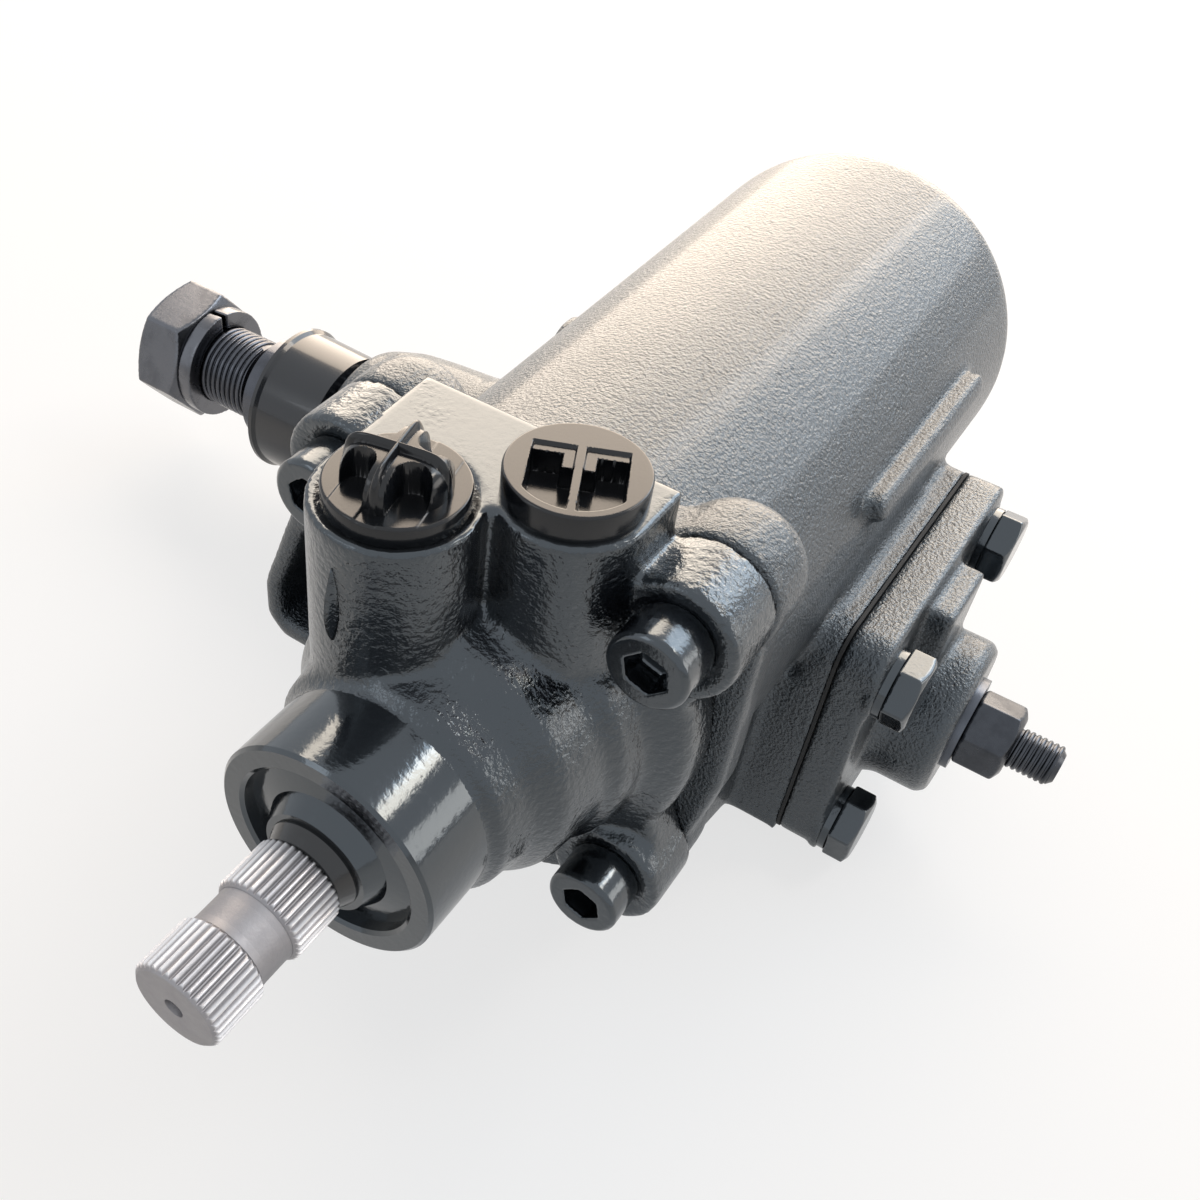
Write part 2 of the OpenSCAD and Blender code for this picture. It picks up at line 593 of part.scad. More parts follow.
module input_snap_ring() color([0.25, 0.25, 0.26]) difference() {
    ring_y(neck_y + 5.05, neck_y + 6.55, recess_d / 2 - 2.6, recess_d / 2 + 1.1);
    translate([worm_x - 3, neck_y + 4, centre_d + 10]) cube([6, 4, 20]);
}

module input_seal() color([0.08, 0.05, 0.04]) difference() {
    ring_y(neck_y + 7, neck_y + 15.5, journal_r + run_gap, recess_d / 2 - run_gap);
    ring_y(neck_y + 6, neck_y + 11, journal_r + 3.5, recess_d / 2 - 2.5);
}

module input_bearing() color([0.6, 0.6, 0.62]) {
    start_y = neck_y + recess_depth + 1;
    ring_y(start_y, start_y + input_bearing_w, bearing_bore_r - 1, bearing_bore_r - run_gap);
    for (a = [0:24:336]) translate([worm_x, start_y + 1, centre_d]) rotate([0, a, 0])
        translate([(journal_r + bearing_bore_r - 1) / 2 - 0.01, 0, 0]) rotate([-90, 0, 0])
            cylinder(h = input_bearing_w - 2, r = (bearing_bore_r - 1 - journal_r) / 2 - 0.06);
}

// Worm bearing, held in the spigot of the valve housing by a ring nut
module worm_thrust_race() color([0.55, 0.56, 0.58]) difference() {
    ring_y(worm_flange_y, race_back_y, 22, 26 - run_gap);
    translate([worm_x, bearing_y, centre_d]) rotate([-90, 0, 0]) rotate_extrude() translate([bearing_path_r, 0]) circle(3.06);
}

module worm_inner_race() color([0.55, 0.56, 0.58]) difference() {
    ring_y(worm_flange_y, race_back_y, bearing_seat_r, bearing_in_r);
    translate([worm_x, bearing_y, centre_d]) rotate([-90, 0, 0]) rotate_extrude() translate([bearing_path_r, 0]) circle(3.06);
}

module worm_thrust_balls() color([0.7, 0.7, 0.72]) for (a = [0:360 / 18:359]) translate([worm_x, bearing_y, centre_d])
    rotate([0, a, 0]) translate([bearing_path_r, 0, 0]) sphere(3);

module worm_bearing_nut() color([0.3, 0.3, 0.32]) difference() {
    ring_y(race_back_y, race_back_y + ring_nut_w, bearing_in_r + 0.6, 26 - run_gap);
    for (a = [45:90:315]) translate([worm_x, joint_y + 9, centre_d]) rotate([0, a, 0]) translate([22, 0, -2]) cube([3, 5, 4]);
}

// Sector shaft bearings and seals
module needle_bearing(x, w, r) {
    ring_x(x, x + w, r + 3.5, r + 4.5 - run_gap);
    for (a = [0:15:345]) rotate([a, 0, 0]) translate([x + 1.5, 0, r + 1.75]) rotate([0, 90, 0]) cylinder(h = w - 3, r = 1.69);
}

module sector_bearing_output() color([0.6, 0.6, 0.62]) needle_bearing(output_bearing_x + 0.5, output_bearing_w - 1, output_r);

module sector_bearing_cover() color([0.65, 0.5, 0.3]) ring_x(cover_in_x - 6, cover_in_x + 15, shaft_r + run_gap, bush_r - 0.02);

module sector_seal() color([0.07, 0.04, 0.04]) difference() {
    ring_x(sector_front_x + 11, sector_front_x + 20, output_r + run_gap, output_seal_r - run_gap);
    ring_x(sector_front_x + 14, sector_front_x + 21, output_r + 1.6, output_seal_r - 1.6);
}

module sector_snap_ring() color([0.25, 0.25, 0.26]) difference() {
    ring_x(sector_front_x + 8.45, sector_front_x + 9.95, output_seal_r - 2.6, output_seal_r + 1.1);
    translate([sector_front_x + 8, -3, -40]) cube([3, 6, 25]);
}

module sector_dust_seal() color([0.04, 0.04, 0.04])
    turn_x([[output_r + run_gap, sector_front_x + 1], [output_r + 2.6, sector_front_x + 1.5], [output_seal_r - run_gap, sector_front_x + 3],
        [output_seal_r - run_gap, sector_front_x + 8], [output_r + run_gap, sector_front_x + 8]]);

// Sector shaft with its three teeth, tapered serration and thread
function inv_deg(a) = tan(a) * 180 / pi_value - a;
function tooth_half(r) = let (base_r = pitch_r * cos(press_angle))
    90 / full_teeth - backlash / 4 / pitch_r * 180 / pi_value + inv_deg(press_angle) - (r > base_r ? inv_deg(acos(base_r / r)) : 0);
function flank_radii() = let (base_r = pitch_r * cos(press_angle))
    concat([shaft_r - 1, base_r], [for (i = [1:6]) base_r + (tip_r - base_r) * i / 6]);

module sector_tooth(at) rotate(at) polygon(concat(
    [for (r = flank_radii()) r * [sin(tooth_half(r)), cos(tooth_half(r))]],
    [for (i = [7:-1:0]) let (r = flank_radii()[i]) r * [sin(-tooth_half(r)), cos(tooth_half(r))]]));

module serration_outline(r, n, depth) polygon([for (i = [0:n - 1], k = [0:3]) let (a = 360 * (i + [0.08, 0.42, 0.58, 0.92][k]) / n,
    q = (k == 0 || k == 3) ? r - depth : r) [q * cos(a), q * sin(a)]]);

module sector_shaft() color([0.5, 0.51, 0.53]) {
    difference() {
        union() {
            for (i = [-1, 0, 1]) along_x(worm_x - sector_w / 2, worm_x + sector_w / 2) sector_tooth(i * 360 / full_teeth);
            turn_x([[0, output_shoulder_x - 1], [output_r - 1, output_shoulder_x - 1], [shaft_r, output_shoulder_x + 1],
                [shaft_r, shaft_end_x - 1], [shaft_r - 1, shaft_end_x], [0, shaft_end_x]]);
            turn_x([[0, serration_x], [output_r - 0.6, serration_x], [output_r, serration_x + 0.6], [output_r, output_shoulder_x - 3],
                [output_r - 1, output_shoulder_x], [0, output_shoulder_x]]);
            intersection() {
                along_x(serration_x - serration_len, serration_x) serration_outline(serration_d / 2 + 0.2, serration_n, 1.5);
                rod_x(serration_x - serration_len, serration_x, serration_d / 2 - 1.5, serration_d / 2);
            }
            turn_x([[0, thread_end_x], [thread_d / 2 - 1.8, thread_end_x], [thread_d / 2, thread_end_x + 1.8],
                [thread_d / 2, serration_x - serration_len - 4], [thread_d / 2 - 1.2, serration_x - serration_len - 3.5],
                [thread_d / 2 - 1.2, serration_x - serration_len], [serration_d / 2 - 3, serration_x - serration_len], [serration_d / 2 - 3, serration_x], [0, serration_x]]);
        }
        rod_x(head_x - 0.5, slot_lip_x, adjust_head_r + 0.35);
        rod_x(head_x, shaft_end_x + 1, adjust_neck_r + 0.4);
        translate([head_x - 0.5, 0, -adjust_head_r - 0.35]) cube([slot_lip_x - head_x + 0.5, shaft_r + 5, 2 * adjust_head_r + 0.7]);
        translate([head_x, 0, -adjust_neck_r - 0.4]) cube([20, shaft_r + 5, 2 * adjust_neck_r + 0.8]);
        rod_x(thread_end_x - 1, thread_end_x + 5, 3, 1);
    }
}

module sector_nut() color([0.28, 0.3, 0.33]) difference() {
    translate([nut_x - nut_h, 0, 0]) rotate([0, 90, 0]) rotate(nut_turn) hex_prism(nut_h, nut_af, 2, 2);
    rod_x(nut_x - nut_h - 1, nut_x + 1, thread_d / 2 + run_gap);
}

module sector_spring_washer() color([0.3, 0.32, 0.35]) difference() {
    ring_x(nut_x, nut_x + washer_t, thread_d / 2 + 0.3, thread_d / 2 + washer_rim);
    translate([nut_x - 1, -0.9, 0]) rotate([0, 0, 8]) cube([washer_t + 3, 1.6, thread_d / 2 + washer_rim + 2]);
}

module serration_sleeve() color([0.1, 0.11, 0.13]) turn_x([[serration_d / 2 + 2.6, sleeve_x], [sleeve_r, sleeve_x], [sleeve_r, sleeve_x + 1.2],
    [sleeve_r - 0.9, sleeve_x + 2.2], [sleeve_r - 1.4, sleeve_x + sleeve_len], [serration_d / 2 + 0.15, sleeve_x + sleeve_len],
    [serration_d / 2 + 0.15, sleeve_x + 3], [serration_d / 2 + 2.6, sleeve_x + 2]]);

// Rack piston with the ball nut fixed in it
module rack_space(at) translate([at * rack_pitch, 0]) {
    low = tooth_m * pi_value / 4 + backlash / 4 + (addendum + 1) * tan(press_angle);
    high = tooth_m * pi_value / 4 + backlash / 4 - dedendum * tan(press_angle);
    polygon([[-low, rack_z - addendum - 1], [low, rack_z - addendum - 1], [high, rack_z + dedendum], [-high, rack_z + dedendum]]);
}

module rack_piston() color([0.45, 0.46, 0.48]) difference() {
    turn_y([[0, -piston_front], [bore_r - run_gap - 1, -piston_front], [bore_r - run_gap, -piston_front + 1],
        [bore_r - run_gap, piston_back - 1], [bore_r - run_gap - 1, piston_back], [0, piston_back]]);
    along_x(worm_x - 45, worm_x + 45) {
        translate([-rack_half, -20]) square([2 * rack_half, rack_z - addendum + 20]);
        for (i = [-2:2]) rack_space(i);
    }
    ring_y(piston_ring_y, piston_ring_y + ring_w, bore_r - 3.2, bore_r + 1);
    rod_y(-piston_front - 1, piston_back - 7, worm_d / 2 + 2);
    rod_y(-piston_front - 1, nut_front_y + nut_len, ball_nut_r);
    rod_y(piston_back - 8, piston_back + 1, worm_d / 2 + 5);
    guide_pocket();
}

module guide_pocket() {
    translate([worm_x - 8, guide_front_y - 6, centre_d + ball_nut_r - 2]) cube([16, guide_span + 12, 40]);
}

module piston_ring() color([0.15, 0.13, 0.12]) difference() {
    ring_y(piston_ring_y + 0.1, piston_ring_y + ring_w - 0.1, bore_r - 3.1, bore_r - 0.02);
    translate([worm_x - 0.4, piston_ring_y - 1, centre_d + 20]) cube([0.8, 8, 30]);
}

module piston_end_plug() color([0.4, 0.4, 0.42]) difference() {
    rod_y(piston_back - 6.9, piston_back, worm_d / 2 + 4.95);
    translate([worm_x - 5, piston_back - 4, centre_d - 5]) cube([10, 5, 10]);
}

// The helical ball track is the same outline turned along the worm
function track_edge(a) = let (s = lead * a / 360) abs(s) < track_r ? sqrt(track_r * track_r - s * s) : 0;
function worm_outline() = [for (i = [0:track_sides - 1]) let (a = 360 * i / track_sides - 180,
    r = min(worm_d / 2, ball_path_r - track_edge(a))) [r * cos(a), r * sin(a)]];
function nut_edge(a) = let (s = lead * a / 360, q = track_r + 0.25) abs(s) < q ? sqrt(q * q - s * s) : 0;
function nut_outline() = [for (i = [0:track_sides - 1]) let (a = 360 * i / track_sides - 180,
    r = max(worm_d / 2 + 0.4, ball_path_r + nut_edge(a))) [r * cos(a), r * sin(a)]];

// Extrudes an outline from y0 to y1, turned so that the track passes angle zero at the nut's middle
module helix_y(y0, y1) translate([worm_x, y0, centre_d]) rotate([-90, 0, 0]) rotate(360 * (y0 - nut_mid_y) / lead)
    linear_extrude(height = y1 - y0, twist = -360 * (y1 - y0) / lead, slices = ceil((y1 - y0) / lead * track_sides),
        $fn = track_sides) children();

module ball_nut() color([0.5, 0.5, 0.5]) difference() {
    rod_y(nut_front_y, nut_front_y + nut_len, ball_nut_r - run_gap);
    helix_y(nut_front_y - 1, nut_front_y + nut_len + 1) polygon(nut_outline());
    for (y = [guide_front_y, guide_front_y + guide_span]) translate([worm_x, y, centre_d]) cylinder(h = 20, r = guide_r + 0.1);
}

module ball_train() color([0.8, 0.8, 0.82]) {
    count = floor(ball_turns * balls_per_turn);
    for (i = [0:count - 1]) let (y = (i - (count - 1) / 2) * lead / balls_per_turn)
        translate([worm_x, nut_mid_y + y, centre_d]) rotate([-90, 0, 0]) rotate(360 * y / lead) translate([ball_path_r, 0, 0]) sphere(ball_r);
}

// Return tube that lifts the balls from one end of the nut to the other
module return_guide() color([0.7, 0.68, 0.6]) difference() {
    guide_tube(guide_r);
    guide_tube(guide_r - 0.7, 0.1);
}

module guide_tube(r, more = 0) {
    leg_low = centre_d + ball_path_r + ball_r + 1;
    bend_z = centre_d + ball_nut_r + guide_lift;
    for (y = [guide_front_y, guide_front_y + guide_span]) translate([worm_x, y, leg_low - more]) cylinder(h = bend_z - leg_low + more, r = r);
    translate([worm_x, guide_front_y + guide_span / 2, bend_z]) rotate([90, 0, 90]) rotate_extrude(angle = 180)
        translate([guide_span / 2, 0]) circle(r);
}

module guide_clamp() color([0.4, 0.4, 0.42]) {
    clamp_z = centre_d + ball_nut_r + guide_lift + guide_span / 2 + guide_r;
    translate([worm_x - clamp_half, guide_front_y + guide_span / 2 - 4, clamp_z]) cube([2 * clamp_half, 8, 1.5]);
    for (sx = [-1, 1]) translate([worm_x + sx * (clamp_half - 1) - 1, guide_front_y + guide_span / 2 - 4, centre_d + ball_nut_r - 0.9])
        cube([2, 8, clamp_z - centre_d - ball_nut_r + 0.9]);
}

module worm() color([0.6, 0.6, 0.62]) {
    difference() {
        union() {
            turn_y([[0, worm_front_y], [bearing_in_r + 1.5, worm_front_y], [bearing_in_r + 1.5, worm_flange_y], [bearing_seat_r, worm_flange_y],
                [bearing_seat_r, joint_y + 11], [bearing_seat_r - 1, joint_y + 12], [worm_d / 2 + 2, joint_y + 16], [worm_d / 2 + 1, joint_y + 18],
                [worm_d / 2 - 1, joint_y + 20], [worm_d / 2 - 1, track_start_y], [0, track_start_y]]);
            helix_y(track_start_y, track_end_y) polygon(worm_outline());
            turn_y([[0, track_end_y], [worm_d / 2 - 1, track_end_y], [worm_d / 2 - 2, track_end_y + 3], [0, track_end_y + 3]]);
        }
        rod_y(worm_front_y - 1, worm_front_y + 6, spool_r + 0.1);
        rod_y(worm_front_y, torsion_end_y + 0.5, torsion_d / 2 + run_gap);
        pin_hole(sleeve_pin_r + 0.02);
    }
}

// Blind hole through the sleeve's end into the worm's flange, shorter by less at both ends for the pin in it
module pin_hole(r, less = 0) translate([worm_x, worm_front_y - 4 + less, centre_d + (spool_r + bearing_in_r + 1.5) / 2])
    rotate([-90, 0, 0]) cylinder(h = pin_len - 2 * less, r = r);

module sleeve_pin() color([0.7, 0.7, 0.7]) pin_hole(sleeve_pin_r, 0.1);

module valve_sleeve() color([0.55, 0.56, 0.58]) difference() {
    ring_y(sleeve_y + 0.5, worm_front_y - 0.1, spool_r + run_gap, valve_d / 2 - 0.4);
    for (i = [0:3]) ring_y(seal_y(i), seal_y(i) + seal_ring_w, valve_d / 2 - 2, valve_d / 2 + 1);
    for (i = [0:2]) {
        ring_y(seal_y(i) + seal_ring_w + seal_land, seal_y(i + 1) - seal_land, valve_d / 2 - 1.6, valve_d / 2 + 1);
        for (a = [0:90:270]) translate([worm_x, (seal_y(i) + seal_ring_w + seal_y(i + 1)) / 2, centre_d]) rotate([0, a + 30 * i, 0]) cylinder(h = 30, r = 1.2);
    }
    pin_hole(sleeve_pin_r + 0.02);
}

module valve_seal_rings() color([0.2, 0.25, 0.2]) for (i = [0:3])
    ring_y(seal_y(i) + 0.1, seal_y(i) + seal_ring_w - 0.1, valve_d / 2 - 1.9, valve_d / 2 - run_gap);

// Input shaft with the valve spool on its inner end, on a torsion bar
module input_shaft() color([0.75, 0.76, 0.78]) difference() {
    union() {
        for (y = [shaft_tip_y, band_y]) intersection() {
            along_y(y, y + spline_len) translate([worm_x, centre_d]) serration_outline(spline_d / 2, spline_n, 0.7);
            turn_y([[0, y], [spline_d / 2 - 1, y], [spline_d / 2 + 0.1, y + 1], [spline_d / 2 + 0.1, y + spline_len - 1],
                [spline_d / 2 - 1, y + spline_len], [0, y + spline_len]]);
        }
        turn_y([[0, shaft_tip_y], [spline_d / 2 - 1.1, shaft_tip_y], [spline_d / 2 - 1.1, shaft_tip_y + spline_len], [waist_r, shaft_tip_y + spline_len + 1.6],
            [waist_r, band_y - 1.6], [spline_d / 2 - 1.1, band_y], [spline_d / 2 - 1.1, band_y + spline_len],
            [journal_r, neck_y - 3], [journal_r, sleeve_y - 1], [journal_r, sleeve_y], [spool_r, sleeve_y + 0.6], [spool_r, worm_front_y - 1],
            [spool_r - 0.3, worm_front_y], [spool_r - 0.3, worm_front_y + 5.5], [0, worm_front_y + 5.5]]);
    }
    for (a = [0:60:300]) translate([worm_x, sleeve_y + 6, centre_d]) rotate([0, a, 0]) translate([-2, 0, spool_r - 1])
        cube([4, worm_front_y - sleeve_y - 12.5, 3]);
    rod_y(shaft_tip_y + 16, worm_front_y + 6, torsion_d / 2 + 0.25);
    rod_y(shaft_tip_y - 1, shaft_tip_y + 5, 2.2, 1.2);
    torsion_pin_hole(1.52);
}

module torsion_pin_hole(r) translate([worm_x, neck_y + 16.5, centre_d]) rotate([0, 90, 0]) translate([0, 0, -journal_r - 1]) cylinder(h = 2 * journal_r + 2, r = r);

module torsion_bar() color([0.6, 0.6, 0.6]) difference() {
    turn_y([[0, shaft_tip_y + 17], [torsion_d / 2, shaft_tip_y + 18], [torsion_d / 2, torsion_end_y - 1], [0, torsion_end_y]]);
    torsion_pin_hole(1.52);
}

module torsion_bar_pin() color([0.5, 0.5, 0.5]) translate([worm_x, neck_y + 16.5, centre_d]) rotate([0, 90, 0])
    translate([0, 0, -journal_r + 0.3]) cylinder(h = 2 * journal_r - 0.6, r = 1.5);

gear_housing();
valve_housing();
side_cover();
cover_gasket();
housing_screws();
cover_bolts();
cover_washers();
adjusting_screw();
lock_nut();
lock_nut_seal();
adjuster_shim();
housing_seal_ring();
port_plug_left();
port_plug_right();
port_seats();
input_dust_seal();
input_seal();
input_snap_ring();
input_bearing();
worm_thrust_race();
worm_inner_race();
worm_thrust_balls();
worm_bearing_nut();
sector_bearing_output();
sector_bearing_cover();
sector_seal();
sector_dust_seal();
sector_snap_ring();
sector_shaft();
sector_nut();
sector_spring_washer();
serration_sleeve();
rack_piston();
piston_ring();
piston_end_plug();
ball_nut();
ball_train();
return_guide();
guide_clamp();
worm();
valve_sleeve();
valve_seal_rings();
sleeve_pin();
input_shaft();
torsion_bar();
torsion_bar_pin();
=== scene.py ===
"""A power steering gear: two black cast housings, a serrated input shaft, plugged hose ports, a bolted
side cover and a splined sector shaft with its nut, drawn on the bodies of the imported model."""
import json
import math
import bmesh
import bpy
import numpy as np
from mathutils import Matrix, Vector


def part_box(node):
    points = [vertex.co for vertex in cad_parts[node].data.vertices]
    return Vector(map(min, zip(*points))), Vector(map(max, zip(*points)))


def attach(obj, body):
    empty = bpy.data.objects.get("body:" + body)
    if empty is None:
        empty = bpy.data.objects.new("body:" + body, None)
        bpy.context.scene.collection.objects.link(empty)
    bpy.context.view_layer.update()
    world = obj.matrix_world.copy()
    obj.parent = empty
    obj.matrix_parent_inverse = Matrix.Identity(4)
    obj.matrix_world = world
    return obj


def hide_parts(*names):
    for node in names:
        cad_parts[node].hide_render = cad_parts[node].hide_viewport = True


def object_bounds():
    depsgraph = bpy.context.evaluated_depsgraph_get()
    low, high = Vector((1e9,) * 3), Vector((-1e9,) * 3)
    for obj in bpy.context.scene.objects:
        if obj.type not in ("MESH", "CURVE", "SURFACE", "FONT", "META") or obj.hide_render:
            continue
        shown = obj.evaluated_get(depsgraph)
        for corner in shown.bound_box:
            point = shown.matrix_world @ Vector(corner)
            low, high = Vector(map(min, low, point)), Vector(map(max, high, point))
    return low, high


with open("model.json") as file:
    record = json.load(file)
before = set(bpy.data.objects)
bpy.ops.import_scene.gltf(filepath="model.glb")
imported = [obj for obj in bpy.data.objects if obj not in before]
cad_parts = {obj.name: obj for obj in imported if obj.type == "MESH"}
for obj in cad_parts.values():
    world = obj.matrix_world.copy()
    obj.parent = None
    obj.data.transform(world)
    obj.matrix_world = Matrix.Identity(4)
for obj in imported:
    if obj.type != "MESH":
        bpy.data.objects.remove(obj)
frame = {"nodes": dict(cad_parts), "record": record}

cad_box = [list(corner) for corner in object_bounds()]
nodes = frame["nodes"]

# Camera. The view of the product picture: from the front and well above, turned a little to the side
# of the cover, with the worm running away to the upper right.
photo_size, focal_length_px, optical_middle_px = 1200, 1333.611, (478.876, 661.465)
camera_place = (0.17165, -0.26289, 0.24945)
view_turn, view_height, view_roll = (math.radians(a) for a in (30.9675, 46.3312, 5.0333))
flat = math.cos(view_height)
backward = Vector((math.sin(view_turn) * flat, -math.cos(view_turn) * flat, math.sin(view_height)))
level_right = Vector((math.cos(view_turn), math.sin(view_turn), 0))
level_up = backward.cross(level_right)
right = math.cos(view_roll) * level_right + math.sin(view_roll) * level_up
up = backward.cross(right)
camera_data = bpy.data.cameras.new("camera")
camera_data.sensor_width = 36
camera_data.lens = focal_length_px * camera_data.sensor_width / photo_size
camera_data.shift_x = (photo_size / 2 - optical_middle_px[0]) / photo_size
camera_data.shift_y = (optical_middle_px[1] - photo_size / 2) / photo_size
camera_data.clip_start = 0.01
camera = bpy.data.objects.new("camera", camera_data)
turn = Matrix((right, up, backward)).transposed().to_4x4()
camera.matrix_world = Matrix.Translation(camera_place) @ turn
bpy.context.scene.collection.objects.link(camera)
bpy.context.scene.camera = camera
bpy.context.scene.view_settings.view_transform = "Standard"


# Node helpers. Short calls that add the nodes of a material and join them.
class Sock:
    """A node socket that Python's operators turn into Math nodes."""

    def __init__(self, tree, out):
        self.tree, self.out = tree, out

    def math(self, operation, *values):
        return node(self.tree, "ShaderNodeMath", {"operation": operation}, values)

    def __add__(self, other):
        return self.math("ADD", self, other)

    def __sub__(self, other):
        return self.math("SUBTRACT", self, other)

    def __rsub__(self, other):
        return self.math("SUBTRACT", other, self)

    def __mul__(self, other):
        return self.math("MULTIPLY", self, other)

    def __pow__(self, other):
        return self.math("POWER", self, other)

    __radd__ = __add__

    def step(self, low, high):
        """0 below low, 1 above high, smooth between."""
        return node(self.tree, "ShaderNodeMapRange", {"interpolation_type": "SMOOTHSTEP"},
                    {"Value": self, "From Min": low, "From Max": high})


def node(tree, kind, settings=None, sockets=None, out=0):
    """Adds a node: its settings first, then the values or links of its sockets."""
    made = tree.nodes.new(kind)
    for name, value in (settings or {}).items():
        setattr(made, name, value)
    pairs = enumerate(sockets) if isinstance(sockets, (tuple, list)) else (sockets or {}).items()
    for key, value in pairs:
        if isinstance(value, Sock):
            tree.links.new(value.out, made.inputs[key])
        elif value is not None:
            made.inputs[key].default_value = value
    return Sock(tree, made.outputs[out])


def mix(tree, factor, first, second):
    """Mixes two colours."""
    first, second = (c if isinstance(c, Sock) else (*c, 1) for c in (first, second))
    return node(tree, "ShaderNodeMix", {"data_type": "RGBA"}, {0: factor, 6: first, 7: second}, out=2)


def start(name):
    """A new material with a Principled shader, its tree, and Object coordinates in metres."""
    made = bpy.data.materials.new(name)
    made.use_nodes = True
    tree = made.node_tree
    shader = tree.nodes["Principled BSDF"]
    return made, tree, shader, node(tree, "ShaderNodeTexCoord", out=3)


def feed(tree, shader, **inputs):
    """Feeds sockets of the shader, with underscores for the spaces in their names."""
    for name, value in inputs.items():
        socket = shader.inputs[name.replace("_", " ")]
        if isinstance(value, Sock):
            tree.links.new(value.out, socket)
        else:
            socket.default_value = value


def noise(tree, place, scale, detail=2.0, roughness=0.5, distortion=0.0):
    return node(tree, "ShaderNodeTexNoise", None, {"Vector": place, "Scale": scale, "Detail": detail,
                                                   "Roughness": roughness, "Distortion": distortion})


def bump(tree, height, distance, strength=1.0, under=None):
    """A Bump node over another one or none, its distance in mm."""
    return node(tree, "ShaderNodeBump", None, {"Strength": strength, "Distance": distance / 1000,
                                               "Height": height, "Normal": under})


def split(tree, place):
    """The three coordinates of a place, in metres."""
    parts = tree.nodes.new("ShaderNodeSeparateXYZ")
    tree.links.new(place.out, parts.inputs[0])
    return [Sock(tree, out) for out in parts.outputs]


# Black casting paint. The housings and the cover are sand cast iron under one coat of gloss black: the
# paint keeps the grain of the sand as fine pits and a longer swell like orange peel.
def casting_paint(name, grain, wrinkle, gloss, machined_above=None):
    """Gloss black over sand cast iron: grain is the sand's, wrinkle the runs of the wet coat, in mm. Over a
    machined face, which lies above a height in mm, the coat is even."""
    made, tree, shader, place = start(name)
    relief = 1.0
    if machined_above:
        height = split(tree, place)[2]
        patches = noise(tree, place, 70).step(0.55, 0.75)
        machined = height.step(machined_above / 1000 - 0.0004, machined_above / 1000)
        relief = 1 - machined * (0.88 - patches * 0.4)
    sand = noise(tree, place, 1150, 2, 0.6)
    pit = noise(tree, place, 620).step(0.6, 0.8)
    runs = noise(tree, place, 620, distortion=0.15)
    swell = noise(tree, place, 85, 3, 0.55)
    fine = bump(tree, sand - pit * 0.5, grain, relief)
    coarse = bump(tree, runs + swell, wrinkle, relief, fine)
    dust = noise(tree, place, 60, 4, 0.6).step(0.5, 0.8)
    colour = mix(tree, dust * 0.7, (0.006, 0.007, 0.009), (0.02, 0.02, 0.021))
    dullness = swell * 0.1 + pit * 0.12 + dust * 0.06
    feed(tree, shader, Base_Color=colour, Roughness=gloss + dullness, Normal=coarse, IOR=1.8,
         Specular_Tint=(0.8, 0.91, 1.0, 1), Coat_Weight=0.3, Coat_Roughness=0.12)
    return made


# Rounded copies. Cast and forged nodes get their soft corners here, and the calls below hand them in.
def rounded(name, source, voxel, rounds, keep=None, limit=185000):
    """A copy of a node, remeshed and relaxed so that its corners round off like a casting's. keep takes
    the points in millimetres and gives how much each may move: machined faces stay. Every other round
    pushes back a little, which keeps the piece from shrinking."""
    pull_in, push_back = 0.6, -0.25
    mesh = nodes[source].data.copy()
    piece = bpy.data.objects.new(name, mesh)
    bpy.context.scene.collection.objects.link(piece)
    form = bmesh.new()
    form.from_mesh(mesh)
    bmesh.ops.remove_doubles(form, verts=form.verts, dist=1e-6)
    form.to_mesh(mesh)
    form.free()
    remesh = piece.modifiers.new("remesh", "REMESH")
    remesh.mode, remesh.voxel_size = "VOXEL", voxel
    skin = bpy.data.meshes.new_from_object(piece.evaluated_get(bpy.context.evaluated_depsgraph_get()))
    piece.modifiers.clear()
    count = len(skin.vertices)
    places = np.empty(count * 3)
    skin.vertices.foreach_get("co", places)
    places = places.reshape(-1, 3)
    edges = np.empty(len(skin.edges) * 2, int)
    skin.edges.foreach_get("vertices", edges)
    edges = edges.reshape(-1, 2)
    free = keep(places * 1000)[:, None] if keep else np.ones((count, 1))
    total = np.bincount(edges.ravel(), minlength=count)[:, None]
    for i in range(rounds):
        pull = np.empty_like(places)
        for k in range(3):
            pull[:, k] = (np.bincount(edges[:, 0], places[edges[:, 1], k], count)
                          + np.bincount(edges[:, 1], places[edges[:, 0], k], count))
        places += (pull_in if i % 2 == 0 else push_back) * free * (pull / total - places)
    skin.vertices.foreach_set("co", places.ravel())
    piece.data = skin
    thin = piece.modifiers.new("thin", "DECIMATE")
    thin.ratio = min(1.0, limit / (2 * len(skin.polygons)))
    piece.data = bpy.data.meshes.new_from_object(piece.evaluated_get(bpy.context.evaluated_depsgraph_get()))
    piece.modifiers.clear()
    piece.data.shade_smooth()
    piece.data.materials.clear()
    return piece


def near(distance, reach):
    """0 on a machined face, 1 from reach millimetres away."""
    return np.clip(distance / reach, 0, 1)


def paint(piece, material):
    piece.data.materials.clear()
    piece.data.materials.append(material)
    return piece


def finish(material, *names):
    """Gives CAD nodes their finish."""
    for name in names:
        for place in nodes[name].material_slots:
            place.material = material


def cast_piece(name, source, voxel, rounds, keep, material):
    piece = paint(rounded(name, source, voxel, rounds, keep), material)
    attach(piece, "housing")
    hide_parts(source)


def box_mm(name):
    """A node's lowest and highest corners at rest, in mm."""
    return [[round(v * 1000, 2) for v in corner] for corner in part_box(name)]


